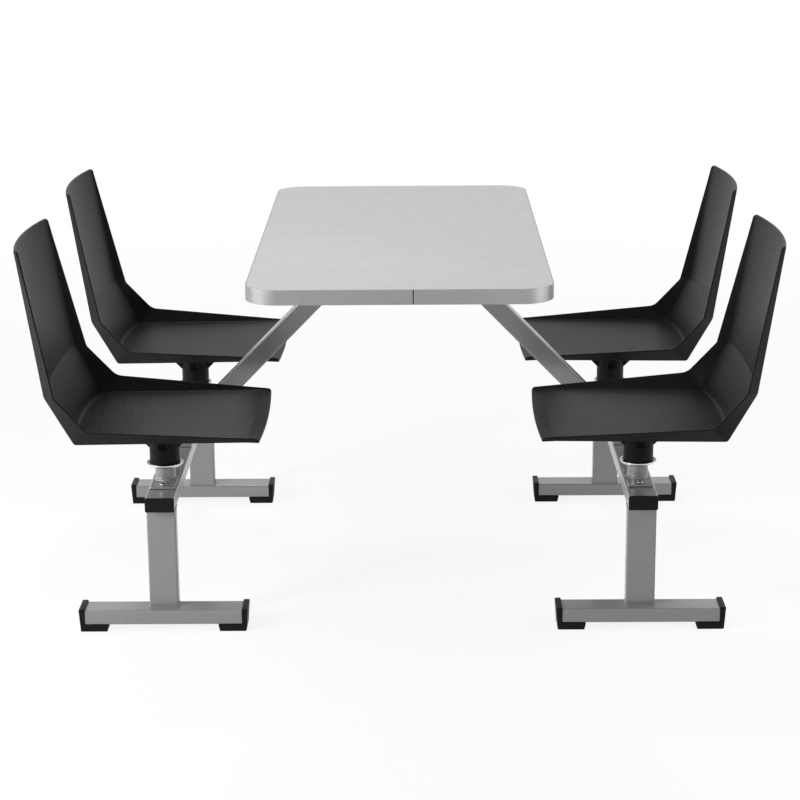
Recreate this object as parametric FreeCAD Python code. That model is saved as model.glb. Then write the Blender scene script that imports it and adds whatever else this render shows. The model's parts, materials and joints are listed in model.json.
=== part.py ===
"""Table with four attached swivel seats.

Frame: millimetres, +Z up, origin on the floor under the middle of the table.
The table is long in Y. The seats stand in two rows, left at X < 0 and right at X > 0,
and face the table. Front is the end towards -Y.
"""
import FreeCAD
import Part
import math
import os

V = FreeCAD.Vector
ORIGIN = V(0, 0, 0)
X_AXIS = V(1, 0, 0)
Y_AXIS = V(0, 1, 0)
Z_AXIS = V(0, 0, 1)
FULL_TURN = 360
HALF_TURN = 180
ARC_STEPS = 2
SIDES = {"left": -1, "right": 1}
ENDS = {"front": -1, "rear": 1}

# Overall layout
table_length = 1200
table_width = 600
table_height = 750
frame_half_span = 493
seat_offset = 330
seat_height = 430
foot_offset = 430
beam_top = 287

# Table top
board_thickness = 30
board_corner = 65
laminate_thickness = 1
band_thickness = 2
band_seam = 2
band_seam_place = 26

# Steel tube of the side frames
tube_wide = 60
tube_narrow = 30
tube_wall = 2
tube_corner = 3.5

# Foot bars and their end caps
foot_length = 350
pad_height = 15
pad_length = 62
cap_wall = 13
cap_draft = 3.5
cap_top_lip = 3.5
cap_side_lip = 1.5
cap_corner = 2.5

# Spigots that hold the caps in the tube ends
spigot_length = 24
spigot_wall = 3
spigot_clearance = 0.1
beam_cap_flange = 4

# Uprights, and the overhang of the beam past the foot bars' middle
upright_setback = 10
beam_overhang = 27

# Struts of square tube, and the carrier under the table top
strut_tube = 40
strut_plate_length = 176
strut_plate_width = 60
strut_plate_thickness = 5
strut_screw_offset = 68
strut_head_span = 79
rail_length = 900
rail_margin = 4
rail_leg = 30
rail_sheet = 4
tie_offset = 300
tie_width = 40
table_screw_shares = (-0.45, -0.22, 0.22, 0.45)

# Seat posts
plate_corner = 4
post_plate_length = 130
post_plate_width = 52
post_plate_thickness = 5
post_screw_offset = 47
post_diameter = 42.4
post_wall = 2.6
post_height = 31
post_bead = 4

# Bearing cup on the post
cup_diameter = 76
cup_sheet = 2
cup_lip = 5.5
cup_bend = 3

# Spindle, bush and retainer
spindle_diameter = 25
spindle_root_length = 24
spindle_root_clearance = 0.1
running_clearance = 0.05
axial_play = 0.3
bush_wall = 4.5
bush_flange_diameter = 58
bush_flange = 2
retainer_space = 18
washer_diameter = 44
washer_thickness = 3
washer_clearance = 1

# Swivel hub under the seat
hub_diameter = 63
hub_flange_diameter = 130
hub_flange = 5
gusset_width = 20
gusset_reach = 28
gusset_start = 35
gusset_count = 4
hub_screw_circle = 104
seat_pad_height = 6
seat_pad_margin = 2

# Fasteners
screw_clearance = 0.1
frame_screw_diameter = 8
frame_screw_head = 15
frame_screw_head_height = 4.5
frame_screw_length = 16
hub_screw_diameter = 6
hub_screw_head = 12
hub_screw_head_height = 4
hub_screw_grip = 9
table_screw_diameter = 5
table_screw_head = 11
table_screw_head_height = 3.5
table_screw_grip = 20
table_screw_row_share = 0.25
bolt_diameter = 10
bolt_head = 17
bolt_head_height = 6.4
bolt_grip = 20
bolt_head_sides = 6
head_crown_share = 0.4

# Seat shell: its inner side, measured from the swivel axis and from bend to bend
pan_front_reach = 212
front_bow = 6
lip_length = 26
lip_drop = 3
pan_rear_reach = 153
rear_bow = 17
rear_crown = 3
lumbar_run = 54
lumbar_rise = 91
lumbar_bow = 6
lumbar_crown = 24
back_run = 47
back_rise = 290
top_bow = 17
half_width_front = 192
half_width_knee = 193
half_width_top = 175
low_wing_out = 32
low_wing_rise = 30
low_wing_forward = 27
high_wing_out = 27
high_wing_rise = 3
high_wing_forward = 20
end_wing_out = 4
end_wing_rise = 3
shell_thickness = 6
rim_thickness = 4.5
front_corner = 5
top_corner = 7

# Seat shell: radii of the bends
lip_bend = 60
low_crease_bend = 12
low_middle_bend = 16
low_rim_bend = 32
high_crease_bend = 50
high_middle_bend = 80
high_rim_bend = 12
outer_low_bend = 8
outer_high_bend = 50
bend_steps = 2

# Heights and sizes that follow from the values above
bar_top = pad_height + tube_narrow
bar_length = foot_length - 2 * cap_wall
beam_bottom = beam_top - tube_narrow
beam_half = foot_offset + beam_overhang
upright_offset = foot_offset - upright_setback
board_bottom = table_height - board_thickness
rail_bottom = board_bottom - rail_sheet
strut_bottom = beam_top + strut_plate_thickness
strut_run = frame_half_span - strut_head_span
strut_rise = rail_bottom - strut_bottom
strut_level_cut = strut_tube * math.hypot(strut_run, strut_rise) / strut_rise
rail_inside = strut_head_span - strut_level_cut / 2 - rail_margin - rail_sheet
rail_outside = strut_head_span + strut_level_cut / 2 + rail_margin
post_bottom = beam_top + post_plate_thickness
post_top = post_bottom + post_height
post_bore = post_diameter - 2 * post_wall
cup_floor = post_top + cup_sheet
bush_bottom = cup_floor + running_clearance
hub_bottom = bush_bottom + bush_flange
pan_under = seat_height - shell_thickness
pad_under = pan_under - seat_pad_height
hub_flange_under = pad_under - hub_flange
hub_ledge = pad_under - retainer_space
spindle_top = hub_ledge + axial_play
bush_bore = spindle_diameter + 2 * running_clearance
bush_outside = bush_bore + 2 * bush_wall
hub_bore = bush_outside + 2 * running_clearance
hub_cavity = washer_diameter + 2 * washer_clearance
frame_screw_bore = frame_screw_diameter + 2 * screw_clearance
hub_screw_bore = hub_screw_diameter + 2 * screw_clearance
table_screw_bore = table_screw_diameter + 2 * screw_clearance
bolt_bore = bolt_diameter + 2 * screw_clearance


# Shapes that several pieces share


def corner_arc(before, corner, after, radius, steps):
    """Points, from one tangent point to the other, of the arc that rounds a corner."""
    back = (before - corner).normalize()
    ahead = (after - corner).normalize()
    half_angle = back.getAngle(ahead) / 2
    inward = (back + ahead).normalize()
    centre = corner + inward * (radius / math.sin(half_angle))
    setback = radius / math.tan(half_angle)
    start = corner + back * setback - centre
    end = corner + ahead * setback - centre
    sweep = start.getAngle(end)
    points = []
    for step in range(steps + 1):
        angle = sweep * step / steps
        blend = start * math.sin(sweep - angle) + end * math.sin(angle)
        points.append(centre + blend * (1 / math.sin(sweep)))
    return points


def rounded_outline(corners, radii):
    """Closed wire through the corners, each rounded by its radius, where 0 stays sharp."""
    stops = []
    count = len(corners)
    for index, radius in enumerate(radii):
        corner = corners[index]
        if radius > 0:
            after = corners[(index + 1) % count]
            stops.append(corner_arc(corners[index - 1], corner, after, radius, ARC_STEPS))
        else:
            stops.append([corner])
    edges = []
    for index, stop in enumerate(stops):
        if len(stop) > 1:
            edges.append(Part.Arc(*stop).toShape())
        edges.append(Part.makeLine(stop[-1], stops[(index + 1) % count][0]))
    return Part.Wire(edges)


def rectangle(wide, high, radius):
    """Rounded rectangle about the origin in the XY plane."""
    x = wide / 2
    y = high / 2
    corners = [V(-x, -y, 0), V(x, -y, 0), V(x, y, 0), V(-x, y, 0)]
    return rounded_outline(corners, [radius] * len(corners))


def tube_face(wide, high, wall, corner):
    """Cross section of a rectangular tube."""
    outer = Part.Face(rectangle(wide, high, corner))
    inner = Part.Face(rectangle(wide - 2 * wall, high - 2 * wall, max(corner - wall, 0)))
    return outer.cut(inner).Faces[0]


def prism(face, start, x_axis, y_axis, length):
    """Extrudes a face of the XY plane, laid with its x and y along the given axes."""
    z_axis = x_axis.cross(y_axis)
    laid = face.copy()
    laid.Placement = FreeCAD.Placement(start, FreeCAD.Rotation(x_axis, y_axis, z_axis, "XYZ"))
    return laid.extrude(z_axis * length)


def cylinder(diameter, bottom, top, x=0, y=0):
    """Upright cylinder between two heights."""
    return Part.makeCylinder(diameter / 2, top - bottom, V(x, y, bottom))


def turned(outline, radii):
    """Solid of revolution about Z from the radius and height of each corner of its outline."""
    wire = rounded_outline([V(radius, 0, height) for radius, height in outline], radii)
    return Part.Face(wire).revolve(ORIGIN, Z_AXIS, FULL_TURN)


def ring(outside, inside, bottom, top):
    """Upright ring of rectangular section about Z."""
    outline = [(inside / 2, bottom), (outside / 2, bottom), (outside / 2, top), (inside / 2, top)]
    return turned(outline, [0] * len(outline))


def screw(diameter, head, head_height, length):
    """Pan head screw that points down, with the underside of its head at height 0."""
    crown = head_height * head_crown_share
    outline = [
        (0, -length), (diameter / 2, -length), (diameter / 2, 0), (head / 2, 0),
        (head / 2, head_height - crown), (head / 2 - crown, head_height), (0, head_height),
    ]
    return turned(outline, [0] * len(outline))


def moved(shape, x, y, z):
    """Copy of a shape, moved."""
    return shape.translated(V(x, y, z))


def turned_about_z(shape, angle):
    """Copy of a shape, turned about Z."""
    return shape.rotated(ORIGIN, Z_AXIS, angle)


def pointed_up(shape):
    """Copy of a shape, turned upside down about the origin."""
    return shape.rotated(ORIGIN, X_AXIS, HALF_TURN)


def cut_all(shape, tools):
    """Shape with every tool cut from it."""
    for tool in tools:
        shape = shape.cut(tool)
    return shape


def export(node, *solids):
    """Writes one node: a single solid, or a group of separate ones."""
    shape = solids[0] if len(solids) == 1 else Part.makeCompound(list(solids))
    shape.exportStep("parts/" + node + ".step")


# Table top and its carrier


def table_screw_points():
    """Places of the screws that hold the table top on its rails."""
    x = rail_outside - (rail_outside - rail_inside) * table_screw_row_share
    points = []
    for side in SIDES.values():
        points += [(side * x, share * rail_length) for share in table_screw_shares]
    return points


def make_table_top():
    """Board core, the laminate sheet on it and the edge band round both."""
    outside = Part.Face(rectangle(table_width, table_length, board_corner))
    inside = Part.Face(rectangle(table_width - 2 * band_thickness,
                                 table_length - 2 * band_thickness,
                                 board_corner - band_thickness))
    core = inside.extrude(Z_AXIS * (board_thickness - laminate_thickness))
    pilots = []
    for x, y in table_screw_points():
        pilots.append(cylinder(table_screw_bore, 0, table_screw_grip + screw_clearance, x, y))
    export("table_core", moved(cut_all(core, pilots), 0, 0, board_bottom))
    laminate = inside.extrude(Z_AXIS * laminate_thickness)
    export("laminate_top", moved(laminate, 0, 0, table_height - laminate_thickness))
    band = outside.cut(inside).extrude(Z_AXIS * board_thickness)
    seam_start = V(band_seam_place, -table_length / 2, 0)
    seam = Part.makeBox(band_seam, band_thickness, board_thickness, seam_start)
    export("edge_band", moved(band.cut(seam), 0, 0, board_bottom))


def make_carrier():
    """Angle rails and flat ties under the table top, and the screws through the rails."""
    leg_bottom = board_bottom - rail_leg
    corners = [
        V(rail_inside, 0, leg_bottom), V(rail_inside + rail_sheet, 0, leg_bottom),
        V(rail_inside + rail_sheet, 0, rail_bottom), V(rail_outside, 0, rail_bottom),
        V(rail_outside, 0, board_bottom), V(rail_inside, 0, board_bottom),
    ]
    angle = Part.Face(rounded_outline(corners, [0] * len(corners)))
    right = moved(angle.extrude(Y_AXIS * rail_length), 0, -rail_length / 2, 0)
    bores = [cylinder(table_screw_bore, rail_bottom, board_bottom, x, y)
             for x, y in table_screw_points()]
    for side_name, turn in (("right", 0), ("left", HALF_TURN)):
        export("top_rail_" + side_name, cut_all(turned_about_z(right, turn), bores))
    for end_name, end in ENDS.items():
        start = V(-rail_inside, end * tie_offset - tie_width / 2, rail_bottom)
        export("cross_tie_" + end_name, Part.makeBox(2 * rail_inside, tie_width, rail_sheet, start))
    length = rail_sheet + table_screw_grip
    upward = pointed_up(screw(table_screw_diameter, table_screw_head,
                              table_screw_head_height, length))
    export("table_screws", *[moved(upward, x, y, rail_bottom) for x, y in table_screw_points()])


# Side frames and struts


def post_screw_places():
    """Distances along a beam of the screws that hold its two post plates."""
    places = []
    for end in ENDS.values():
        places.append(end * seat_offset - post_screw_offset)
        places.append(end * seat_offset + post_screw_offset)
    return places


def strut_screw_places():
    """Distances along a beam of the screws that hold its strut plate."""
    return [end * strut_screw_offset for end in ENDS.values()]


def spigot(start, x_axis, y_axis):
    """Hollow plug that fits the bore of the frame tube."""
    loss = 2 * (tube_wall + spigot_clearance)
    corner = max(tube_corner - tube_wall, 0)
    section = tube_face(tube_wide - loss, tube_narrow - loss, spigot_wall, corner)
    return prism(section, start, x_axis, y_axis, spigot_length)


def foot_cap():
    """Cap for the +X end of a foot bar: end wall, pad under the bar and spigot in the bar."""
    seat = bar_length / 2
    outer = seat + cap_wall
    inner = outer - pad_length
    top = bar_top + cap_top_lip
    corners = [
        V(inner + cap_draft, 0, 0), V(outer - cap_draft, 0, 0), V(outer, 0, top),
        V(seat, 0, top), V(seat, 0, pad_height), V(inner, 0, pad_height),
    ]
    outline = rounded_outline(corners, [cap_corner, cap_corner, cap_corner, 0, 0, 0])
    half_width = tube_wide / 2 + cap_side_lip
    body = Part.Face(outline).extrude(Y_AXIS * (2 * half_width))
    body = moved(body, 0, -half_width, 0)
    middle = V(seat, 0, pad_height + tube_narrow / 2)
    return body.fuse(spigot(middle, Y_AXIS, Z_AXIS * -1)).removeSplitter()


def beam_cap():
    """Cap for the +Y end of a beam: flange of the tube's outline and spigot in the beam."""
    seat = beam_half - beam_cap_flange
    middle = V(0, seat, beam_top - tube_narrow / 2)
    outline = Part.Face(rectangle(tube_wide, tube_narrow, tube_corner))
    flange = prism(outline, middle, X_AXIS, Z_AXIS * -1, beam_cap_flange)
    return flange.fuse(spigot(middle, X_AXIS, Z_AXIS)).removeSplitter()


def make_side_frame(side_name, side):
    """Beam, uprights, foot bars and caps of one side."""
    x = side * frame_half_span
    section = tube_face(tube_wide, tube_narrow, tube_wall, tube_corner)
    beam_length = 2 * (beam_half - beam_cap_flange)
    start = V(x, beam_length / 2, beam_top - tube_narrow / 2)
    beam = prism(section, start, X_AXIS, Z_AXIS, beam_length)
    holes = []
    for y in post_screw_places() + strut_screw_places():
        holes.append(cylinder(frame_screw_bore, beam_top - 2 * tube_wall, beam_top, x, y))
    export("side_beam_" + side_name, cut_all(beam, holes))
    caps = [turned_about_z(beam_cap(), turn) for turn in (0, HALF_TURN)]
    export("beam_caps_" + side_name, *[moved(cap, x, 0, 0) for cap in caps])
    for end_name, end in ENDS.items():
        place = end_name + "_" + side_name
        start = V(x, end * upright_offset, bar_top)
        export("upright_" + place, prism(section, start, X_AXIS, Y_AXIS, beam_bottom - bar_top))
        y = end * foot_offset
        start = V(x - bar_length / 2, y, pad_height + tube_narrow / 2)
        export("foot_bar_" + place, prism(section, start, Y_AXIS, Z_AXIS, bar_length))
        caps = [turned_about_z(foot_cap(), turn) for turn in (0, HALF_TURN)]
        export("foot_caps_" + place, *[moved(cap, x, y, 0) for cap in caps])


def plate(width, length, thickness):
    """Flat plate with rounded corners, standing on the beam's top at the origin."""
    face = Part.Face(rectangle(width, length, plate_corner))
    return moved(face.extrude(Z_AXIS * thickness), 0, 0, beam_top)


def make_strut(side_name, side):
    """Slanted tube from a plate on the beam to a rail, cut level at both ends."""
    foot = V(side * frame_half_span, 0, strut_bottom)
    head = V(side * strut_head_span, 0, rail_bottom)
    along = (head - foot).normalize()
    section = tube_face(strut_tube, strut_tube, tube_wall, tube_corner)
    overrun = strut_level_cut
    length = foot.distanceToPoint(head) + 2 * overrun
    tube = prism(section, foot - along * overrun, Y_AXIS, along.cross(Y_AXIS), length)
    reach = frame_half_span + overrun
    level = Part.makeBox(2 * reach, 2 * strut_tube, strut_rise, V(-reach, -strut_tube, strut_bottom))
    export("strut_" + side_name, tube.common(level))
    foot_plate = plate(strut_plate_width, strut_plate_length, strut_plate_thickness)
    holes = [cylinder(frame_screw_bore, beam_top, strut_bottom, 0, y)
             for y in strut_screw_places()]
    export("strut_plate_" + side_name, moved(cut_all(foot_plate, holes), foot.x, 0, 0))


def make_frame_screws():
    """Screws that hold the post plates and the strut plates on the beams."""
    one = screw(frame_screw_diameter, frame_screw_head,
                frame_screw_head_height, frame_screw_length)
    post_screws = []
    strut_screws = []
    for side in SIDES.values():
        x = side * frame_half_span
        post_screws += [moved(one, x, y, post_bottom) for y in post_screw_places()]
        strut_screws += [moved(one, x, y, strut_bottom) for y in strut_screw_places()]
    export("post_screws", *post_screws)
    export("strut_screws", *strut_screws)


# Swivel: each piece is made about the Z axis, then set at the four seats


def seat_post():
    """Post tube with its weld bead, on a plate that is screwed to the beam."""
    outside = post_diameter / 2
    inside = post_bore / 2
    outline = [
        (inside, post_bottom), (outside + post_bead, post_bottom),
        (outside, post_bottom + post_bead), (outside, post_top), (inside, post_top),
    ]
    tube = turned(outline, [0] * len(outline))
    base = plate(post_plate_width, post_plate_length, post_plate_thickness)
    holes = [cylinder(frame_screw_bore, beam_top, post_bottom, 0, end * post_screw_offset)
             for end in ENDS.values()]
    return cut_all(base.fuse(tube), holes)


def bearing_cup():
    """Pressed sheet dish with an upturned lip, on top of the post."""
    hole = bush_bore / 2
    outside = cup_diameter / 2
    inside = outside - cup_sheet
    top = post_top + cup_lip
    outline = [
        (hole, post_top), (outside - cup_bend, post_top), (outside, post_top + cup_bend),
        (outside, top), (inside, top), (inside, cup_floor + cup_bend - cup_sheet),
        (inside - cup_bend + cup_sheet, cup_floor), (hole, cup_floor),
    ]
    return turned(outline, [0] * len(outline))


def spindle():
    """Pin with a thick root in the post and a tapped hole in its top."""
    root = post_bore - 2 * spindle_root_clearance
    pin = cylinder(root, post_top - spindle_root_length, post_top)
    pin = pin.fuse(cylinder(spindle_diameter, post_top, spindle_top))
    return pin.cut(cylinder(bolt_bore, spindle_top - bolt_grip - screw_clearance, spindle_top))


def retaining_washer():
    """Washer on the spindle's top, over the ledge in the hub."""
    return ring(washer_diameter, bolt_bore, spindle_top, spindle_top + washer_thickness)


def retaining_bolt():
    """Hexagon head bolt that holds the washer on the spindle."""
    seat = spindle_top + washer_thickness
    corners = []
    for side in range(bolt_head_sides):
        angle = 2 * math.pi * side / bolt_head_sides
        corners.append(V(math.cos(angle), math.sin(angle), 0) * (bolt_head / 2))
    head = Part.Face(rounded_outline(corners, [0] * bolt_head_sides))
    head = moved(head.extrude(Z_AXIS * bolt_head_height), 0, 0, seat)
    return head.fuse(cylinder(bolt_diameter, spindle_top - bolt_grip, seat))


def swivel_bush():
    """Flanged bush in the hub, which turns on the spindle and on the cup's floor."""
    outline = [
        (bush_bore / 2, bush_bottom), (bush_flange_diameter / 2, bush_bottom),
        (bush_flange_diameter / 2, hub_bottom), (bush_outside / 2, hub_bottom),
        (bush_outside / 2, hub_ledge), (bush_bore / 2, hub_ledge),
    ]
    return turned(outline, [0] * len(outline))


def hub_screw_points():
    """Places of the screws in the hub's flange, between its gussets."""
    points = []
    for index in range(gusset_count):
        angle = 2 * math.pi * (index / gusset_count) + math.pi / gusset_count
        points.append((math.cos(angle) * hub_screw_circle / 2,
                       math.sin(angle) * hub_screw_circle / 2))
    return points


def swivel_hub():
    """Round moulded hub with gussets under the flange that carries the seat."""
    outside = hub_diameter / 2
    edge = hub_flange_diameter / 2
    outline = [
        (hub_bore / 2, hub_bottom), (outside, hub_bottom), (outside, hub_flange_under),
        (edge, hub_flange_under), (edge, pad_under), (hub_cavity / 2, pad_under),
        (hub_cavity / 2, hub_ledge), (hub_bore / 2, hub_ledge),
    ]
    hub = turned(outline, [0] * len(outline))
    low = hub_bottom + gusset_start
    root = (outside + hub_cavity / 2) / 2
    tip = outside + gusset_reach
    rib_outline = [
        V(root, 0, low), V(outside, 0, low), V(tip, 0, low + gusset_reach),
        V(tip, 0, hub_flange_under), V(root, 0, hub_flange_under),
    ]
    rib = Part.Face(rounded_outline(rib_outline, [0] * len(rib_outline)))
    rib = moved(rib.extrude(Y_AXIS * gusset_width), 0, -gusset_width / 2, 0)
    for index in range(gusset_count):
        hub = hub.fuse(turned_about_z(rib, FULL_TURN * index / gusset_count))
    holes = [cylinder(hub_screw_bore, hub_flange_under, pad_under, x, y)
             for x, y in hub_screw_points()]
    return cut_all(hub, holes).removeSplitter()


def hub_screws():
    """Screws up through the hub's flange into the seat's pad."""
    upward = pointed_up(screw(hub_screw_diameter, hub_screw_head,
                              hub_screw_head_height, hub_flange + hub_screw_grip))
    return [moved(upward, x, y, hub_flange_under) for x, y in hub_screw_points()]


# Seat shell: a folded sheet, ruled between cross sections that follow its bends


def offset_direction(line, index):
    """Vector of a line in the XZ plane that moves it one unit outwards at a point."""
    normals = []
    for first, second in ((index - 1, index), (index, index + 1)):
        if first >= 0 and second < len(line):
            step = line[second] - line[first]
            normals.append(V(-step.z, 0, step.x).normalize())
    total = normals[0] + normals[-1]
    return total * (1 / (1 + normals[0].dot(normals[-1])))


def bent_path(corners, radii):
    """Points of a line with its inner corners rounded."""
    path = [corners[0]]
    for index, radius in enumerate(radii):
        path += corner_arc(*corners[index:index + 3], radius, bend_steps)
    return path + [corners[-1]]


def seat_lines():
    """Lines of the shell from the front edge over its bends to the top, for y > 0."""
    knee_z = seat_height + lumbar_rise
    knee_x = -pan_rear_reach - lumbar_run
    fold = [
        V(pan_front_reach, 0, seat_height - lip_drop), V(pan_front_reach - lip_length, 0, seat_height),
        V(-pan_rear_reach, 0, seat_height - rear_crown), V(knee_x, 0, knee_z),
        V(knee_x - back_run, 0, knee_z + back_rise),
    ]
    bows = [
        V(front_bow, 0, 0), V(front_bow, 0, 0), V(-rear_bow, 0, rear_crown),
        V(-lumbar_bow, 0, lumbar_crown), V(-top_bow, 0, 0),
    ]
    half_widths = [half_width_front, half_width_front, half_width_knee, half_width_knee, half_width_top]
    front_wing = V(0, end_wing_out, end_wing_rise)
    low_wing = V(low_wing_forward, low_wing_out, low_wing_rise)
    lip_share = lip_length / (pan_front_reach + pan_rear_reach)
    lip_wing = front_wing + (low_wing - front_wing) * lip_share
    lip_wing.x = 0
    wings = [
        front_wing, lip_wing, low_wing,
        V(high_wing_forward, high_wing_out, high_wing_rise), V(end_wing_rise, end_wing_out, 0),
    ]
    middle = [point + bow for point, bow in zip(fold, bows)]
    lines = {"middle": middle, "middle_out": [], "crease": [], "crease_out": [], "rim": [], "rim_out": []}
    for index, wing in enumerate(wings):
        outward = offset_direction(fold, index)
        unit = V(outward).normalize()
        lean = math.atan2(-wing.dot(unit), wing.y)
        crease = fold[index] + Y_AXIS * half_widths[index]
        side_step = Y_AXIS * (shell_thickness * math.tan(lean / 2))
        rim_step = Y_AXIS * math.sin(lean) + unit * math.cos(lean)
        lines["crease"].append(crease)
        lines["crease_out"].append(crease + outward * shell_thickness + side_step)
        lines["rim"].append(crease + wing)
        lines["rim_out"].append(crease + wing + rim_step * rim_thickness)
        lines["middle_out"].append(middle[index] + offset_direction(middle, index) * shell_thickness)
    bends = {
        "middle": [lip_bend, low_middle_bend, high_middle_bend],
        "crease": [lip_bend, low_crease_bend, high_crease_bend],
        "rim": [lip_bend, low_rim_bend, high_rim_bend],
        "crease_out": [lip_bend, outer_low_bend, outer_high_bend],
    }
    bends["middle_out"] = bends["middle"]
    bends["rim_out"] = bends["rim"]
    return {name: bent_path(line, bends[name]) for name, line in lines.items()}


def mirrored(point):
    """Point on the other half of the seat."""
    return V(point.x, -point.y, point.z)


def skin_edges(rim, crease, middle):
    """Wing, panel and wing of one skin of a cross section, from -Y to +Y."""
    return [
        Part.makeLine(mirrored(rim), mirrored(crease)),
        Part.Arc(mirrored(crease), middle, crease).toShape(),
        Part.makeLine(crease, rim),
    ]


def corner_tool(before, corner, after, radius, through):
    """Prism that rounds a corner of the shell, seen along its thickness there."""
    axis = V(through).normalize()
    flat = [point - axis * (point - corner).dot(axis) for point in (before, corner, after)]
    start, middle, end = corner_arc(*flat, radius, ARC_STEPS)
    tip = corner * 2 - middle
    edges = [Part.Arc(start, middle, end).toShape(), Part.makeLine(end, tip), Part.makeLine(tip, start)]
    reach = axis * (2 * shell_thickness)
    return Part.Face(Part.Wire(edges)).translated(reach * -1).extrude(reach * 2)


def corner_tools(lines):
    """Tools for the four outer corners of the shell."""
    tools = []
    for end, beside, radius in ((0, 1, front_corner), (-1, -2, top_corner)):
        corner = lines["rim"][end]
        through = lines["rim_out"][end] - corner
        before = lines["rim"][beside]
        edge = skin_edges(corner, lines["crease"][end], lines["middle"][end])[1]
        after = edge.valueAt(edge.getParameterByLength(edge.Length - radius))
        tools.append(corner_tool(before, corner, after, radius, through))
        points = [mirrored(point) for point in (before, corner, after)]
        tools.append(corner_tool(*points, radius, mirrored(through)))
    return tools


def seat_shell():
    """Folded shell with a round pad under the pan for the hub's flange."""
    lines = seat_lines()
    inner = [skin_edges(*points) for points in zip(lines["rim"], lines["crease"], lines["middle"])]
    outer = [skin_edges(*points)
             for points in zip(lines["rim_out"], lines["crease_out"], lines["middle_out"])]
    sections = []
    for index, (rim, rim_out) in enumerate(zip(lines["rim"], lines["rim_out"])):
        rims = [Part.makeLine(rim, rim_out), Part.makeLine(mirrored(rim), mirrored(rim_out))]
        sections.append(inner[index] + outer[index] + rims)
    faces = []
    for near, far in zip(sections, sections[1:]):
        faces += [Part.makeRuledSurface(*pair) for pair in zip(near, far)]
    for end in (0, -1):
        faces += [Part.makeRuledSurface(*pair) for pair in zip(inner[end], outer[end])]
    sewn = Part.makeCompound(faces)
    sewn.sewShape()
    shell = Part.Solid(sewn)
    pad_diameter = hub_flange_diameter + 2 * seat_pad_margin
    shell = shell.fuse(cylinder(pad_diameter, pad_under, pan_under + shell_thickness / 2))
    holes = [cylinder(hub_screw_bore, pad_under, pad_under + hub_screw_grip + screw_clearance, x, y)
             for x, y in hub_screw_points()]
    return cut_all(shell, holes + corner_tools(lines))


def seat_places():
    """Name, place and turn of each seat, so that all face the table."""
    places = []
    for side_name, side in SIDES.items():
        for end_name, end in ENDS.items():
            turn = 0 if side < 0 else HALF_TURN
            places.append((end_name + "_" + side_name, side * frame_half_span,
                           end * seat_offset, turn))
    return places


def make_seats():
    """Seats with their swivels, each piece set at every seat."""
    pieces = {
        "seat_shell": [seat_shell()],
        "swivel_hub": [swivel_hub()],
        "hub_screws": hub_screws(),
        "swivel_bush": [swivel_bush()],
        "spindle": [spindle()],
        "bearing_cup": [bearing_cup()],
        "seat_post": [seat_post()],
    }
    for place, x, y, turn in seat_places():
        for name, solids in pieces.items():
            export(name + "_" + place, *[moved(turned_about_z(solid, turn), x, y, 0) for solid in solids])
    fixings = {"spindle_washers": retaining_washer(), "spindle_bolts": retaining_bolt()}
    for name, solid in fixings.items():
        export(name, *[moved(solid, x, y, 0) for place, x, y, turn in seat_places()])


def main():
    os.makedirs("parts", exist_ok=True)
    make_table_top()
    make_carrier()
    for side_name, side in SIDES.items():
        make_side_frame(side_name, side)
        make_strut(side_name, side)
    make_frame_screws()
    make_seats()


main()
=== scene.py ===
import json
import math

import bmesh
import bpy
from mathutils import Matrix, Vector


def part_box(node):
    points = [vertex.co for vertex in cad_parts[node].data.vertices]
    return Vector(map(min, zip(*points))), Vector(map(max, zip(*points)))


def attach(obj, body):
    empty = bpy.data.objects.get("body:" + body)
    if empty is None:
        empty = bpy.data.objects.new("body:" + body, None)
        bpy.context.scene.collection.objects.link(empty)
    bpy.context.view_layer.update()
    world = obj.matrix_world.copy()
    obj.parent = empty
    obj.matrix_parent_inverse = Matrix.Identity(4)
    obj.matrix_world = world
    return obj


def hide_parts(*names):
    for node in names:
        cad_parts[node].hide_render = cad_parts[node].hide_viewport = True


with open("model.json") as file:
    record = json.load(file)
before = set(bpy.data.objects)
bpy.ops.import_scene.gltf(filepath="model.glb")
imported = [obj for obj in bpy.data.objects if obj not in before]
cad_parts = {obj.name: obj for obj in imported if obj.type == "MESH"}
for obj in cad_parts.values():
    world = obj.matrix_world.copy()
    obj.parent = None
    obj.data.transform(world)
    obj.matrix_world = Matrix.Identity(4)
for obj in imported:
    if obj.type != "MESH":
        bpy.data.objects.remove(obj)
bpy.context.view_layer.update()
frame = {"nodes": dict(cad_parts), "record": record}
nodes = frame["nodes"]
record = frame["record"]
scene = bpy.context.scene

MM = 0.001
SIDES = ("left", "right")
PLACES = [end + "_" + side for end in ("front", "rear") for side in SIDES]
SLOT_OF = {part["node"]: part["material_slot"] for part in record["subparts"]}
BODY_OF = {node: body for body, members in record["behaviour"]["bodies"].items() for node in members}


def middle_of(node):
    """Centre of a node's box."""
    low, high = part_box(node)
    return (Vector(low) + Vector(high)) / 2


def seat_matrix(place):
    """Place and turn of a seat: its front faces the table."""
    post = middle_of("seat_post_" + place)
    turn = 0.0 if place.endswith("left") else math.pi
    return Matrix.Translation((post.x, post.y, 0.0)) @ Matrix.Rotation(turn, 4, "Z")


# Materials

# Range that holds most values of a noise
NOISE_LOW = 0.3
NOISE_HIGH = 0.7
# Share of open sky at which the painted shade in a recess is darkest, and at which the colour is full
PAINTED_SHADE_LOW = 0.45
PAINTED_SHADE_HIGH = 0.8


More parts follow.
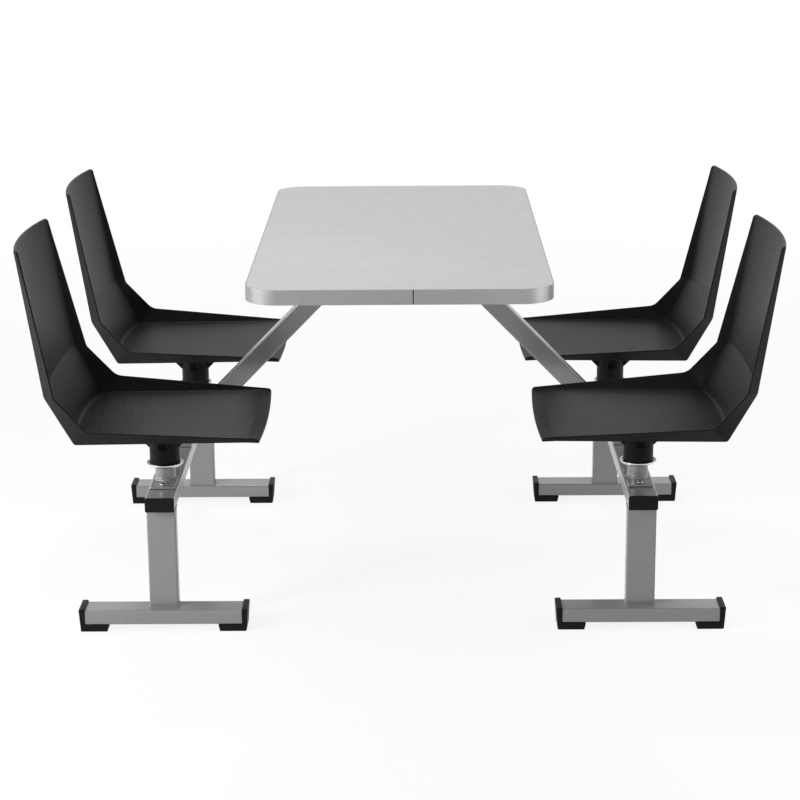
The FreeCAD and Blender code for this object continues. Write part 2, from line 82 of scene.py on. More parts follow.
class Tree:
    """Short forms for building a node tree."""

    def __init__(self, tree):
        self.tree = tree

    def node(self, kind, **values):
        """New node whose inputs or settings take the values."""
        made = self.tree.nodes.new(kind)
        for key, value in values.items():
            if key in made.inputs:
                made.inputs[key].default_value = value
            else:
                setattr(made, key, value)
        return made

    def link(self, source, target):
        """Joins an output to an input."""
        self.tree.links.new(source, target)

    def math(self, operation, first, second):
        """Result of an operation on two outputs or numbers."""
        made = self.node("ShaderNodeMath", operation=operation)
        for socket, value in zip(made.inputs, (first, second)):
            if isinstance(value, (int, float)):
                socket.default_value = value
            else:
                self.link(value, socket)
        return made.outputs[0]

    def ranged(self, value, low, high, start=NOISE_LOW, end=NOISE_HIGH):
        """Value that runs from low to high while the input runs from start to end."""
        made = self.node("ShaderNodeMapRange")
        for key, number in (("From Min", start), ("From Max", end), ("To Min", low), ("To Max", high)):
            made.inputs[key].default_value = number
        self.link(value, made.inputs["Value"])
        return made.outputs["Result"]

    def seen_white(self):
        """1 for the rays that show a background: straight, mirrored or through glass."""
        path = self.node("ShaderNodeLightPath").outputs
        mirrored = self.math("MAXIMUM", path["Is Glossy Ray"], path["Is Transmission Ray"])
        return self.math("MAXIMUM", path["Is Camera Ray"], mirrored)


class Shader(Tree):
    """A material built step by step around one Principled shader."""

    def __init__(self, name, color, rough, metallic=0.0, specular=0.5):
        self.mat = bpy.data.materials.new(name)
        self.mat.use_nodes = True
        super().__init__(self.mat.node_tree)
        self.bsdf = self.tree.nodes["Principled BSDF"]
        self.bsdf.inputs["Base Color"].default_value = (*color, 1.0)
        self.bsdf.inputs["Roughness"].default_value = rough
        self.bsdf.inputs["Metallic"].default_value = metallic
        self.bsdf.inputs["Specular IOR Level"].default_value = specular
        self.mat.diffuse_color = (*color, 1.0)
        self.coords = self.node("ShaderNodeTexCoord").outputs["Object"]

    def noise(self, size, detail=2.0, stretch=(1.0, 1.0, 1.0)):
        """Noise whose features are about size metres across."""
        mapping = self.node("ShaderNodeMapping", Scale=stretch)
        self.link(self.coords, mapping.inputs["Vector"])
        texture = self.node("ShaderNodeTexNoise", Scale=1.0 / size, Detail=detail)
        self.link(mapping.outputs["Vector"], texture.inputs["Vector"])
        return texture.outputs["Fac"]

    def facing(self, axis):
        """Component of the surface's normal along a world axis."""
        parts = self.node("ShaderNodeSeparateXYZ")
        self.link(self.node("ShaderNodeNewGeometry").outputs["Normal"], parts.inputs[0])
        return parts.outputs[axis]

    def ramp(self, value, low, high, start=NOISE_LOW, end=NOISE_HIGH):
        """Colour that runs from low to high."""
        made = self.node("ShaderNodeValToRGB")
        for element, place, color in zip(made.color_ramp.elements, (start, end), (low, high)):
            element.position = place
            element.color = (*color, 1.0)
        self.link(value, made.inputs["Fac"])
        return made.outputs["Color"]

    def tint(self, value, low, high):
        """Lets the colour run from low to high with a noise."""
        self.link(self.ramp(value, low, high), self.bsdf.inputs["Base Color"])

    def painted_corner_shade(self, reach, least):
        """Paints shade: multiplies the colour by least in recesses and inner corners, where shade
        falls.
        """
        base = self.bsdf.inputs["Base Color"]
        color = base.links[0].from_socket
        # painted shade: ambient occlusion darkens the base colour in corners and recesses
        shade = self.node("ShaderNodeAmbientOcclusion", Distance=reach)
        mix = self.node("ShaderNodeMixRGB", blend_type="MULTIPLY")
        mix.inputs["Fac"].default_value = 1.0
        self.link(color, mix.inputs["Color1"])
        painted_shade = self.ranged(shade.outputs["AO"], least, 1.0, PAINTED_SHADE_LOW, PAINTED_SHADE_HIGH)
        self.link(painted_shade, mix.inputs["Color2"])
        self.link(mix.outputs["Color"], base)

    def roughness(self, value, low, high):
        """Lets the roughness run from low to high with a noise."""
        self.link(self.ranged(value, low, high), self.bsdf.inputs["Roughness"])

    def relief(self, value, depth):
        """Adds a bump of depth metres."""
        bump = self.node("ShaderNodeBump", Strength=1.0, Distance=depth)
        self.link(value, bump.inputs["Height"])
        self.link(bump.outputs["Normal"], self.bsdf.inputs["Normal"])


def grey(value, warm=0.0):
    """Grey with more red and less blue by the share warm."""
    return (value * (1 + warm), value, value * (1 - warm))


def seat_plastic():
    """Black moulded plastic with a grained face."""
    look = Shader("seat_plastic", grey(0.012), rough=0.31, specular=0.034)
    look.tint(look.noise(3.0 * MM), grey(0.008), grey(0.017))
    look.roughness(look.noise(3.0 * MM), 0.29, 0.34)
    look.relief(look.noise(4.0 * MM, detail=3.0), depth=1.0 * MM)
    return look.mat


def hub_plastic():
    """Deep black plastic of the hubs."""
    look = Shader("hub_plastic", grey(0.004), rough=0.42, specular=0.10)
    look.tint(look.noise(6.0 * MM, detail=3.0), grey(0.003), grey(0.005))
    look.roughness(look.noise(4.0 * MM), 0.36, 0.50)
    look.relief(look.noise(1.2 * MM), depth=0.04 * MM)
    return look.mat


def cap_plastic():
    """Matt black plastic of the caps and the joint strip."""
    look = Shader("cap_plastic", grey(0.005), rough=0.48, specular=0.11)
    look.tint(look.noise(3.0 * MM, detail=3.0), grey(0.004), grey(0.006))
    look.roughness(look.noise(6.0 * MM), 0.42, 0.56)
    look.relief(look.noise(1.0 * MM), depth=0.06 * MM)
    return look.mat


def frame_paint():
    """Grey metallic powder paint, with painted shade in its corners."""
    look = Shader("frame_paint", grey(0.22), rough=0.24, metallic=0.25)
    look.tint(look.noise(0.9 * MM), grey(0.21), grey(0.23))
    # painted shade in inner corners, at plates and along the weld beads
    look.painted_corner_shade(reach=2.4 * MM, least=0.35)
    look.roughness(look.noise(1.2 * MM), 0.22, 0.27)
    look.relief(look.noise(2.2 * MM), depth=0.02 * MM)
    return look.mat


def laminate():
    """Light grey laminate with a fine speckle."""
    look = Shader("laminate", grey(0.50), rough=0.42, specular=0.35)
    look.tint(look.noise(1.4 * MM, detail=4.0), grey(0.45), grey(0.55))
    look.roughness(look.noise(50.0 * MM, detail=3.0), 0.38, 0.48)
    look.relief(look.noise(1.6 * MM, detail=3.0), depth=0.04 * MM)
    return look.mat


def edge_band():
    """Band with a metal look and streaks along its length."""
    look = Shader("edge_band", grey(0.285), rough=0.46, metallic=0.3)
    streaks = look.noise(0.7 * MM, detail=3.0, stretch=(0.02, 0.02, 1.0))
    look.tint(streaks, grey(0.26), grey(0.31))
    look.roughness(streaks, 0.42, 0.50)
    look.relief(streaks, depth=0.03 * MM)
    return look.mat


def board():
    """Chipboard edges, and a plain backing sheet on the face that points down."""
    look = Shader("board", (0.45, 0.34, 0.22), rough=0.80, specular=0.2)
    grain = look.noise(4.0 * MM, detail=5.0)
    chips = look.ramp(grain, (0.30, 0.21, 0.12), (0.62, 0.49, 0.33), start=0.35, end=0.65)
    sheet = look.ramp(look.noise(3.0 * MM, detail=4.0), grey(0.46), grey(0.54))
    down = look.ranged(look.facing("Z"), low=1.0, high=0.0, start=-0.9, end=-0.8)
    mix = look.node("ShaderNodeMixRGB")
    look.link(down, mix.inputs["Fac"])
    look.link(chips, mix.inputs["Color1"])
    look.link(sheet, mix.inputs["Color2"])
    look.link(mix.outputs["Color"], look.bsdf.inputs["Base Color"])
    look.relief(look.noise(2.2 * MM, detail=4.0), depth=0.1 * MM)
    return look.mat


def bright_steel():
    """Turned steel."""
    look = Shader("bright_steel", grey(0.70), rough=0.28, metallic=1.0)
    turned = look.noise(0.6 * MM, stretch=(0.05, 0.05, 1.0))
    look.tint(turned, grey(0.62), grey(0.76))
    look.roughness(turned, 0.22, 0.36)
    return look.mat


def zinc_screws():
    """Zinc with painted shade in its sockets and threads."""
    look = Shader("zinc_screws", grey(0.34), rough=0.40, metallic=1.0)
    look.tint(look.noise(1.2 * MM, detail=3.0), grey(0.29, warm=0.01), grey(0.39))
    # painted shade that makes the sockets and threads nearly black
    look.painted_corner_shade(reach=4.0 * MM, least=0.02)
    look.roughness(look.noise(2.0 * MM), 0.36, 0.48)
    return look.mat


def bush_nylon():
    """Off-white nylon."""
    look = Shader("bush_nylon", grey(0.72, warm=0.03), rough=0.45)
    look.tint(look.noise(6.0 * MM, detail=3.0), grey(0.68, warm=0.03), grey(0.76, warm=0.03))
    look.relief(look.noise(1.2 * MM), depth=0.03 * MM)
    return look.mat


MAKERS = (seat_plastic, hub_plastic, cap_plastic, frame_paint, laminate, edge_band, board,
          bright_steel, zinc_screws, bush_nylon)
materials = {maker.__name__: maker() for maker in MAKERS}
for node, slot in SLOT_OF.items():
    nodes[node].data.materials.clear()
    nodes[node].data.materials.append(materials[slot])


# Mesh helpers

SHARP_ANGLE = math.radians(35)
FLAT_ANGLE = math.radians(1)
JOIN_DISTANCE = 0.001 * MM


def place_piece(name, bm, slot, body):
    """Object from a bmesh in world places, that rides on a body."""
    mesh = bpy.data.meshes.new(name)
    bm.to_mesh(mesh)
    bm.free()
    return place_mesh(name, mesh, slot, body)


def place_mesh(name, mesh, slot, body, matrix=None):
    """Object from a mesh, set in place, that rides on a body."""
    piece = bpy.data.objects.new(name, mesh)
    scene.collection.objects.link(piece)
    if not mesh.materials:
        mesh.materials.append(materials[slot])
    for polygon in mesh.polygons:
        polygon.use_smooth = True
    if matrix is not None:
        piece.matrix_world = matrix
    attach(piece, body)
    return piece


def rounded_edges(piece, width, segments=3):
    """Rounds the sharp edges of a piece and keeps its flat faces flat."""
    bevel = piece.modifiers.new("edges", "BEVEL")
    bevel.width = width
    bevel.segments = segments
    bevel.limit_method = "ANGLE"
    bevel.angle_limit = SHARP_ANGLE
    bevel.use_clamp_overlap = False
    piece.modifiers.new("normals", "WEIGHTED_NORMAL").keep_sharp = True


def node_shape(node):
    """A node's mesh with its points joined."""
    bm = bmesh.new()
    bm.from_mesh(nodes[node].data)
    bmesh.ops.remove_doubles(bm, verts=bm.verts, dist=JOIN_DISTANCE)
    return bm


def softened(node, width):
    """Copy of a CAD node with rounded edges, which stands for it."""
    bm = node_shape(node)
    bmesh.ops.dissolve_limit(bm, angle_limit=FLAT_ANGLE, verts=bm.verts, edges=bm.edges)
    piece = place_piece(node + "_soft", bm, SLOT_OF[node], BODY_OF[node])
    rounded_edges(piece, width, segments=2)
    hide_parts(node)


def lathe(bm, outline, steps, matrix=Matrix()):
    """Surface turned about Z through points of radius and height. Returns its rings."""
    rings = []
    for radius, height in outline:
        ring = []
        for step in range(steps if radius else 1):
            angle = 2 * math.pi * step / steps
            point = Vector((radius * math.cos(angle), radius * math.sin(angle), height))
            ring.append(bm.verts.new(matrix @ point))
        rings.append(ring)
    for low, high in zip(rings, rings[1:]):
        for step in range(steps):
            after = (step + 1) % steps
            corners = [low[step % len(low)], low[after % len(low)]]
            corners += [high[after % len(high)], high[step % len(high)]]
            bm.faces.new(list(dict.fromkeys(corners)))
    return rings


# Rounded edges of the CAD pieces

# Widths of the rounded edges, of nodes that are there once, on each side and at each place
SINGLE_EDGES = {"edge_band": 0.8 * MM, "laminate_top": 0.3 * MM}
SIDE_EDGES = {"beam_caps_": 1.2 * MM, "strut_plate_": 0.6 * MM}
PLACE_EDGES = {
    "foot_caps_": 2.0 * MM,
    "seat_post_": 1.2 * MM,
    "bearing_cup_": 0.4 * MM,
    "swivel_hub_": 0.8 * MM,
}

for node, width in SINGLE_EDGES.items():
    softened(node, width)
for side in SIDES:
    for node, width in SIDE_EDGES.items():
        softened(node + side, width)
for place in PLACES:
    for node, width in PLACE_EDGES.items():
        softened(node + place, width)


# Dark strip in the joint of the edge band

JOINT_PLACE = 26.0 * MM
# Width and depth from the joint's left end and the band's face, in millimetres
JOINT_OUTLINE = ((0.0, 2.0), (0.0, 1.2), (0.4, 0.8), (1.6, 0.8), (2.0, 1.2), (2.0, 2.0))
JOINT_END_GAP = 0.2 * MM
JOINT_EDGE = 0.1 * MM


def band_joint():
    """Upright strip with chamfered edges, set back in the band's groove."""
    low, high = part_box("edge_band")
    bm = bmesh.new()
    ends = []
    for z in (low[2] + JOINT_END_GAP, high[2] - JOINT_END_GAP):
        corners = [(JOINT_PLACE + x * MM, low[1] + depth * MM, z) for x, depth in JOINT_OUTLINE]
        ends.append([bm.verts.new(corner) for corner in corners])
    for index in range(len(JOINT_OUTLINE)):
        bm.faces.new((ends[0][index - 1], ends[0][index], ends[1][index], ends[1][index - 1]))
    for end in ends:
        bm.faces.new(end)
    bmesh.ops.recalc_face_normals(bm, faces=bm.faces)
    rounded_edges(place_piece("band_joint", bm, "cap_plastic", "frame"), JOINT_EDGE, segments=2)


band_joint()


# Screws

HEAD_STEPS = 24
# Shares of the head's radius and height
HEAD_SHARES = ((1.0, 0.0), (1.0, 0.20), (0.97, 0.38), (0.90, 0.52), (0.82, 0.60), (0.74, 0.64))
SOCKET_SHARE = 0.58
SOCKET_DEPTH_SHARE = 0.55
SHANK_SHARE = 0.5
TIP_SHARE = 0.7
ROOT_SHARE = 0.86
THREADED_SHARE = 0.8
THREAD_PITCH = 1.25 * MM
FRAME_HEAD_HEIGHT = 4.5 * MM
TABLE_HEAD_HEIGHT = 3.5 * MM
HUB_HEAD_HEIGHT = 4.0 * MM


def solids_of(node):
    """Lowest and highest corner of each separate solid of a node."""
    bm = node_shape(node)
    seen = set()
    boxes = []
    for first in bm.verts:
        if first in seen:
            continue
        island = [first]
        seen.add(first)
        for vert in island:
            for edge in vert.link_edges:
                other = edge.other_vert(vert)
                if other not in seen:
                    seen.add(other)
                    island.append(other)
        ranges = [[vert.co[axis] for vert in island] for axis in range(3)]
        low = Vector([min(places) for places in ranges])
        high = Vector([max(places) for places in ranges])
        boxes.append((low, high))
    bm.free()
    return boxes


def add_socket(bm, ring, matrix, radius, top, bottom):
    """Hexagon socket in the flat top of a screw, inside its last ring."""
    upper = []
    lower = []
    for index in range(HEAD_STEPS // 2):
        reach = radius if index % 2 == 0 else radius * math.cos(math.pi / 6)
        turn = 4 * math.pi * index / HEAD_STEPS
        for level, points in ((top, upper), (bottom, lower)):
            point = Vector((reach * math.cos(turn), reach * math.sin(turn), level))
            points.append(bm.verts.new(matrix @ point))
    for index in range(len(upper)):
        after = (index + 1) % len(upper)
        rim = [ring[(2 * index + step) % HEAD_STEPS] for step in range(3)]
        bm.faces.new(rim + [upper[after], upper[index]])
        bm.faces.new((upper[index], upper[after], lower[after], lower[index]))
    bm.faces.new(lower)


def add_screw(bm, low, high, head_height, head_up):
    """Socket screw in the box of its CAD solid."""
    radius = (high.x - low.x) / 2
    shank = radius * SHANK_SHARE
    length = high.z - low.z - head_height
    seat = high.z - head_height if head_up else low.z + head_height
    centre = (low + high) / 2
    matrix = Matrix.Translation((centre.x, centre.y, seat))
    if not head_up:
        matrix = matrix @ Matrix.Rotation(math.pi, 4, "X")
    outline = [(0, -length), (TIP_SHARE * shank, -length)]
    for turn in range(int(THREADED_SHARE * length / THREAD_PITCH)):
        height = -length + (turn + 0.5) * THREAD_PITCH
        outline += [(shank, height), (ROOT_SHARE * shank, height + THREAD_PITCH / 2)]
    outline.append((shank, 0))
    outline += [(share * radius, rise * head_height) for share, rise in HEAD_SHARES]
    rings = lathe(bm, outline, HEAD_STEPS, matrix)
    top = HEAD_SHARES[-1][1] * head_height
    bottom = top - SOCKET_DEPTH_SHARE * head_height
    add_socket(bm, rings[-1], matrix, SOCKET_SHARE * radius, top, bottom)


def screw_set(node, head_height, head_up):
    """Screws that stand for a node's group of solids."""
    bm = bmesh.new()
    for low, high in solids_of(node):
        add_screw(bm, low, high, head_height, head_up)
    bmesh.ops.recalc_face_normals(bm, faces=bm.faces)
    piece = place_piece(node + "_socket_head", bm, SLOT_OF[node], BODY_OF[node])
    piece.modifiers.new("normals", "WEIGHTED_NORMAL")
    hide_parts(node)


screw_set("post_screws", FRAME_HEAD_HEIGHT, head_up=True)
screw_set("strut_screws", FRAME_HEAD_HEIGHT, head_up=True)
screw_set("table_screws", TABLE_HEAD_HEIGHT, head_up=False)
for place in PLACES:
    screw_set("hub_screws_" + place, HUB_HEAD_HEIGHT, head_up=False)


# Weld beads

BEAD_STEP = 0.6 * MM
BEAD_PITCH = 2.4 * MM
BEAD_SIDES = 10
BEAD_LOW_SHARE = 0.86
BEAD_END_SHARE = 0.6
UPRIGHT_FOOT_BEAD = 2.2 * MM
UPRIGHT_TOP_BEAD = 1.2 * MM
UPRIGHT_FACE_BEAD = 1.4 * MM
POST_BEAD = 3.0 * MM
POST_BEAD_REACH = 22.4 * MM
STRUT_BEAD = 2.2 * MM
LEVEL_TOLERANCE = 0.01 * MM


def straight(start, end):
    """Points of a straight bead."""
    count = max(int((end - start).length / BEAD_STEP), 2)
    return [start.lerp(end, step / count) for step in range(count + 1)]


def circle(centre, radius):
    """Points of a round bead."""
    count = int(2 * math.pi * radius / BEAD_STEP)
    turns = [2 * math.pi * step / count for step in range(count)]
    return [centre + Vector((math.cos(turn), math.sin(turn), 0)) * radius for turn in turns]


def add_bead(bm, path, radius, closed=False):
    """Rippled weld bead along a level line."""
    rings = []
    for index, point in enumerate(path):
        before = path[index - 1] if index or closed else path[0]
        after = path[(index + 1) % len(path)] if closed else path[min(index + 1, len(path) - 1)]
        side = (after - before).cross(Vector((0, 0, 1))).normalized()
        ripple = abs(math.sin(math.pi * index * BEAD_STEP / BEAD_PITCH))
        size = radius * (BEAD_LOW_SHARE + (1 - BEAD_LOW_SHARE) * ripple)
        if not closed and index in (0, len(path) - 1):
            size *= BEAD_END_SHARE
        ring = []
        for step in range(BEAD_SIDES):
            angle = 2 * math.pi * step / BEAD_SIDES
            ring.append(bm.verts.new(point + side * size * math.cos(angle)
                                     + Vector((0, 0, size * math.sin(angle)))))
        rings.append(ring)
    pairs = list(zip(rings, rings[1:]))
    if closed:
        pairs.append((rings[-1], rings[0]))
    else:
        bm.faces.new(rings[0])
        bm.faces.new(rings[-1])
    for first, second in pairs:
        for step in range(BEAD_SIDES):
            following = (step + 1) % BEAD_SIDES
            bm.faces.new((first[step], first[following], second[following], second[step]))


def level_range(node, height):
    """Lowest and highest X of a node at one height."""
    points = [vert.co for vert in nodes[node].data.vertices]
    places = [point.x for point in points if abs(point.z - height) < LEVEL_TOLERANCE]
    return min(places), max(places)


def weld_beads():
    """Beads at the uprights, posts and struts. Post plates are as thick as strut plates."""
    bm = bmesh.new()
    plate_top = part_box("strut_plate_left")[1][2]
    for place in PLACES:
        low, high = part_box("upright_" + place)
        for x in (low[0], high[0]):
            for z, radius in ((low[2], UPRIGHT_FOOT_BEAD), (high[2], UPRIGHT_TOP_BEAD)):
                add_bead(bm, straight(Vector((x, low[1], z)), Vector((x, high[1], z))), radius)
        for y in (low[1], high[1]):
            for z in (low[2], high[2]):
                ends = Vector((low[0], y, z)), Vector((high[0], y, z))
                add_bead(bm, straight(*ends), UPRIGHT_FACE_BEAD)
        post = middle_of("bearing_cup_" + place)
        foot = Vector((post.x, post.y, plate_top))
        add_bead(bm, circle(foot, POST_BEAD_REACH), POST_BEAD, closed=True)
    for side in SIDES:
        low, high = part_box("strut_" + side)
        for z in (low[2], high[2]):
            for x in level_range("strut_" + side, z):
                add_bead(bm, straight(Vector((x, low[1], z)), Vector((x, high[1], z))), STRUT_BEAD)
    bmesh.ops.recalc_face_normals(bm, faces=bm.faces)
    place_piece("weld_beads", bm, "frame_paint", "frame")


weld_beads()


# Seat shell

# Seat sizes are in millimetres, from the post's axis and the floor. Each list runs from the front
# edge over the lip, the rear bend and the lumbar fold to the top: the inner crease, how far the
# middle lies from it, half the width there, and the way from the crease to the rim.
FOLD = [(212, 429), (186, 430), (-153, 427), (-207, 521), (-254, 811)]
BOWS = [(6, -4), (6, 0), (-17, 3), (-6, 5), (-17, 0)]
HALF_WIDTHS = [192, 192, 193, 193, 175]
WINGS = [(0, 4, 3.8), (0, 6, 4.9), (27, 32, 30), (20, 27, 3), (3, 4, 0)]
# Place of the lumbar fold in these lists, and how far its inner lines are moved there
LUMBAR = 3
LUMBAR_SHIFTS = {"crease": (-3, 15), "middle": (-3, 10)}
# Radii at the lip, the rear bend and the lumbar fold
BENDS = {
    "middle": (60, 10, 16), "crease": (60, 7, 12), "rim": (60, 32, 12),
    "middle_out": (60, 16, 24), "crease_out": (60, 8, 30), "rim_out": (60, 30, 8),
}
SHELL_THICKNESS = 6.0
RIM_THICKNESS = 3.6
CREASE_SOFT = 2.5
CREASE_SOFT_SHARE = 0.45
LEAST_BOW = 0.01
FRONT_CORNERS = {"": 7.0, "_out": 11.0}
TOP_CORNER = 7.0
# Divisions of each bend and of each straight run, and places across a section
BEND_STEPS = 8
RUNS = (6, 18, 6, 18)
PANEL_SHARES = (0.0, 0.14, 0.28, 0.42, 0.55, 0.67, 0.77, 0.85, 0.905, 0.94, 0.965, 0.985, 1.0)
CREASE_SHARES = (0.25, 0.5, 0.75)
WING_SHARES = (0.0, 0.25, 0.5, 0.75, 0.9, 1.0)
PAD_OUTLINE = ((0.0, 418.0), (65.5, 418.0), (67.0, 419.5), (67.0, 425.0), (0.0, 425.0))
PAD_STEPS = 64
SHELL_EDGE = 1.2 * MM


def bend(points, radii, steps, counts):
    """Line through points with rounded inner corners and its straight runs divided."""
    stops = [[points[0]]]
    for index, radius in enumerate(radii):
        before, corner, after = points[index:index + 3]
        back = (before - corner).normalized()
        ahead = (after - corner).normalized()
        half = back.angle(ahead) / 2
        centre = corner + (back + ahead).normalized() * (radius / math.sin(half))
        start = corner + back * (radius / math.tan(half)) - centre
        end = corner + ahead * (radius / math.tan(half)) - centre
        sweep = start.angle(end)
        arc = []
        for step in range(steps + 1):
            angle = sweep * step / steps
            spoke = (start * math.sin(sweep - angle) + end * math.sin(angle)) / math.sin(sweep)
            arc.append(centre + spoke)
        stops.append(arc)
    stops.append([points[-1]])
    line = list(stops[0])
    for index, count in enumerate(counts):
        start = stops[index][-1]
        end = stops[index + 1][0]
        line += [start.lerp(end, step / count) for step in range(1, count)]
        line += stops[index + 1]
    return line


def outward(line, index):
    """Vector that moves a line of the XZ plane one unit outwards at a point."""
    normals = []
    for first, second in ((index - 1, index), (index, index + 1)):
        if first >= 0 and second < len(line):
            step = line[second] - line[first]
            normals.append(Vector((-step.z, 0, step.x)).normalized())
    total = normals[0] + normals[-1]
    return total / (1 + normals[0].dot(normals[-1]))


def seat_lines():
    """Rim, crease and middle lines of both skins, in millimetres, for y > 0."""
    fold = [Vector((x, 0, z)) for x, z in FOLD]
    middle = [point + Vector((x, 0, z)) for point, (x, z) in zip(fold, BOWS)]
    lines = {key: [] for key in ("rim", "crease", "rim_out", "crease_out", "middle_out")}
    lines["middle"] = middle
    for index, way in enumerate(WINGS):
        wing = Vector(way)
        out = outward(fold, index)
        unit = out.normalized()
        lean = math.atan2(-wing.dot(unit), wing.y)
        crease = fold[index] + Vector((0, HALF_WIDTHS[index], 0))
        lines["crease"].append(crease)
        aside = Vector((0, SHELL_THICKNESS * math.tan(lean / 2), 0))
        lines["crease_out"].append(crease + out * SHELL_THICKNESS + aside)
        lines["rim"].append(crease + wing)
        across = Vector((0, math.sin(lean), 0)) + unit * math.cos(lean)
        lines["rim_out"].append(crease + wing + across * RIM_THICKNESS)
        lines["middle_out"].append(middle[index] + outward(middle, index) * SHELL_THICKNESS)
    for key, (x, z) in LUMBAR_SHIFTS.items():
        lines[key][LUMBAR] = lines[key][LUMBAR] + Vector((x, 0, z))
    return {key: bend(line, BENDS[key], BEND_STEPS, RUNS) for key, line in lines.items()}


def half_section(rim, crease, middle):
    """Points from the middle of a section to its rim, with a softened crease."""
    foot = Vector((crease.x, 0, crease.z))
    rise = middle - foot
    sagitta = max(rise.length, LEAST_BOW)
    half = crease.y
    radius = (half * half + sagitta * sagitta) / (2 * sagitta)
    sweep = math.asin(min(half / radius, 1.0))
    wing = rim - crease
    setback = min(CREASE_SOFT, CREASE_SOFT_SHARE * wing.length)

    def on_arc(angle):
        lift = (radius * math.cos(angle) - radius * math.cos(sweep)) / sagitta
        return foot + Vector((0, radius * math.sin(angle), 0)) + rise * lift

    end = sweep - setback / radius
    points = [on_arc(end * step) for step in PANEL_SHARES]
    panel_end = points[-1]
    wing_start = crease + wing.normalized() * setback
    for share in CREASE_SHARES:
        points.append(panel_end.lerp(crease, share).lerp(crease.lerp(wing_start, share), share))
    points += [wing_start.lerp(rim, share) for share in WING_SHARES]
    return points


def drawn_back(grid, inner, last, radius):
    """Rounds a corner of one end of a skin, whose last straight run goes from row inner to row last."""
    row = list(grid[last])
    step = 1 if last > inner else -1
    rim_distance = 0.0
    for column in reversed(range(len(row))):
        if column + 1 < len(row):
            rim_distance += (row[column] - row[column + 1]).length
        if rim_distance >= radius:
            break
        cut = radius - math.sqrt(radius ** 2 - (radius - rim_distance) ** 2)
        start = grid[inner][column].copy()
        kept = 1 - cut / (row[column] - start).length
        for index in range(inner + step, last + step, step):
            grid[index][column] = start.lerp(row[column], kept * (index - inner) / (last - inner))


def seat_skin(lines, suffix):
    """Rows of points of one skin, from one rim to the other."""
    rows = len(lines["rim"])
    grid = []
    for index in range(rows):
        ends = [lines[key + suffix][index] for key in ("rim", "crease", "middle")]
        grid.append(half_section(*ends))
    drawn_back(grid, RUNS[0], 0, FRONT_CORNERS[suffix])
    drawn_back(grid, rows - 1 - RUNS[-1], rows - 1, TOP_CORNER)
    skin = []
    for row in grid:
        mirrored = [Vector((point.x, -point.y, point.z)) for point in reversed(row[1:])]
        skin.append(mirrored + row)
    return skin


def seat_mesh():
    """Folded shell of two skins with its rim, and the pad for the hub below."""
    lines = seat_lines()
    inner = seat_skin(lines, "")
    outer = seat_skin(lines, "_out")
    columns = len(inner[0])
    count = 2 * columns
    bm = bmesh.new()
    loops = [[bm.verts.new(point) for point in near + far[::-1]] for near, far in zip(inner, outer)]
    for first, second in zip(loops, loops[1:]):
        for index in range(count):
            after = (index + 1) % count
            bm.faces.new((first[index], first[after], second[after], second[index]))
    for loop in (loops[0], loops[-1]):
        for index in range(columns - 1):
            far = count - 1 - index
            bm.faces.new((loop[index], loop[far], loop[far - 1], loop[index + 1]))
    lathe(bm, PAD_OUTLINE, PAD_STEPS)
    bmesh.ops.scale(bm, vec=(MM, MM, MM), verts=bm.verts)
    bmesh.ops.recalc_face_normals(bm, faces=bm.faces)
    mesh = bpy.data.meshes.new("seat_shell_skin")
    bm.to_mesh(mesh)
    bm.free()
    return mesh


shell_mesh = seat_mesh()
for place in PLACES:
    body = "seat_" + place
    shell = place_mesh("seat_skin_" + place, shell_mesh, "seat_plastic", body, seat_matrix(place))
    rounded_edges(shell, SHELL_EDGE)
    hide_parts("seat_shell_" + place)


# Stage

# Name, place, target, size, watts and, for a narrow beam, its spread in degrees
LAMPS = (
    ("key", (-2.8, -2.2, 1.5), (-0.3, 0, 0.5), (0.5, 1.3), 88),
    ("front", (-0.6, -4.4, 2.2), (0, 0, 0.45), (0.5, 0.25), 6),
    ("rear", (-0.3, 2.6, 3.6), (0, 0, 0.5), (0.8, 0.4), 54),
    ("left", (-1.75, -0.6, 1.0), (0, -0.6, 0.8), (1.8, 1.6), 24),
    ("right", (1.75, -0.3, 1.25), (0, -0.3, 0.8), (1.8, 1.6), 22),
    ("corner", (2.4, -1.6, 0.86), (0.42, -0.56, 0.80), (0.25, 0.25), 0.17, 6),
)
SKY_FILL = 0.21
FLOOR_REACH = 30.0
# Share of plain white in the floor near the object, and the reach in metres where it starts to
# rise and where it is full
GLOW_SHARE = 0.87
GLOW_START = 1.0
GLOW_END = 4.0

CAMERA_PLACE = (0.0303, -4.6268, 1.6232)
CAMERA_YAW = math.radians(-0.43)
CAMERA_PITCH = math.radians(15.17)
CAMERA_ROLL = math.radians(-0.41)
CAMERA_LENS = 96.8
CAMERA_SENSOR = 36.0


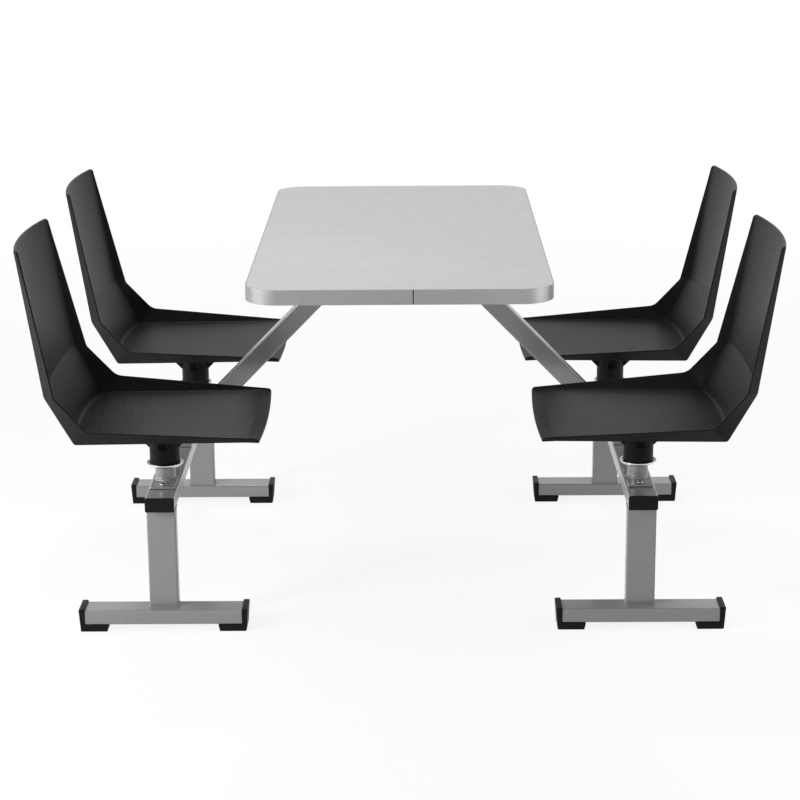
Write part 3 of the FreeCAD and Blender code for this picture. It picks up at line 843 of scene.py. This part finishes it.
def paper():
    """Pale floor that shows as white away from the object and keeps its shadow."""
    look = Shader("paper", grey(0.9), rough=0.9, specular=0.0)
    reach = look.node("ShaderNodeVectorMath", operation="LENGTH")
    look.link(look.coords, reach.inputs[0])
    share = look.ranged(reach.outputs["Value"], GLOW_SHARE, 1.0, GLOW_START, GLOW_END)
    glow = look.math("MULTIPLY", look.seen_white(), share)
    white = look.node("ShaderNodeEmission", Strength=1.0)
    mix = look.node("ShaderNodeMixShader")
    look.link(glow, mix.inputs[0])
    look.link(look.bsdf.outputs[0], mix.inputs[1])
    look.link(white.outputs[0], mix.inputs[2])
    look.link(mix.outputs[0], look.tree.nodes["Material Output"].inputs["Surface"])
    return look.mat


def studio():
    """Floor, white surroundings and lamps."""
    bm = bmesh.new()
    bmesh.ops.create_grid(bm, x_segments=1, y_segments=1, size=FLOOR_REACH)
    mesh = bpy.data.meshes.new("floor")
    bm.to_mesh(mesh)
    bm.free()
    mesh.materials.append(paper())
    floor = bpy.data.objects.new("floor", mesh)
    scene.collection.objects.link(floor)

    world = bpy.data.worlds.new("studio")
    scene.world = world
    world.use_nodes = True
    sky = Tree(world.node_tree)
    background = sky.tree.nodes["Background"]
    background.inputs["Color"].default_value = (1, 1, 1, 1)
    sky.link(sky.ranged(sky.seen_white(), SKY_FILL, 1.0, 0.0, 1.0), background.inputs["Strength"])

    for name, place, target, size, power, *spread in LAMPS:
        lamp = bpy.data.lights.new(name, "AREA")
        lamp.shape = "RECTANGLE"
        lamp.size, lamp.size_y = size
        lamp.energy = power
        if spread:
            lamp.spread = math.radians(spread[0])
        light = bpy.data.objects.new(name, lamp)
        light.location = place
        light.rotation_euler = (Vector(target) - Vector(place)).to_track_quat("-Z", "Y").to_euler()
        scene.collection.objects.link(light)


def camera():
    """Camera that stands as the photograph's did."""
    level = Vector((math.sin(CAMERA_YAW), math.cos(CAMERA_YAW), 0))
    ahead = level * math.cos(CAMERA_PITCH) - Vector((0, 0, math.sin(CAMERA_PITCH)))
    right = Vector((math.cos(CAMERA_YAW), -math.sin(CAMERA_YAW), 0))
    up = right.cross(ahead)
    side = right * math.cos(CAMERA_ROLL) + up * math.sin(CAMERA_ROLL)
    top = up * math.cos(CAMERA_ROLL) - right * math.sin(CAMERA_ROLL)
    eye = bpy.data.cameras.new("camera")
    eye.sensor_width = CAMERA_SENSOR
    eye.lens = CAMERA_LENS
    view = bpy.data.objects.new("camera", eye)
    axes = Matrix((side, top, -ahead)).transposed().to_4x4()
    view.matrix_world = Matrix.Translation(CAMERA_PLACE) @ axes
    scene.collection.objects.link(view)
    scene.camera = view


studio()
camera()
scene.view_settings.view_transform = "Standard"
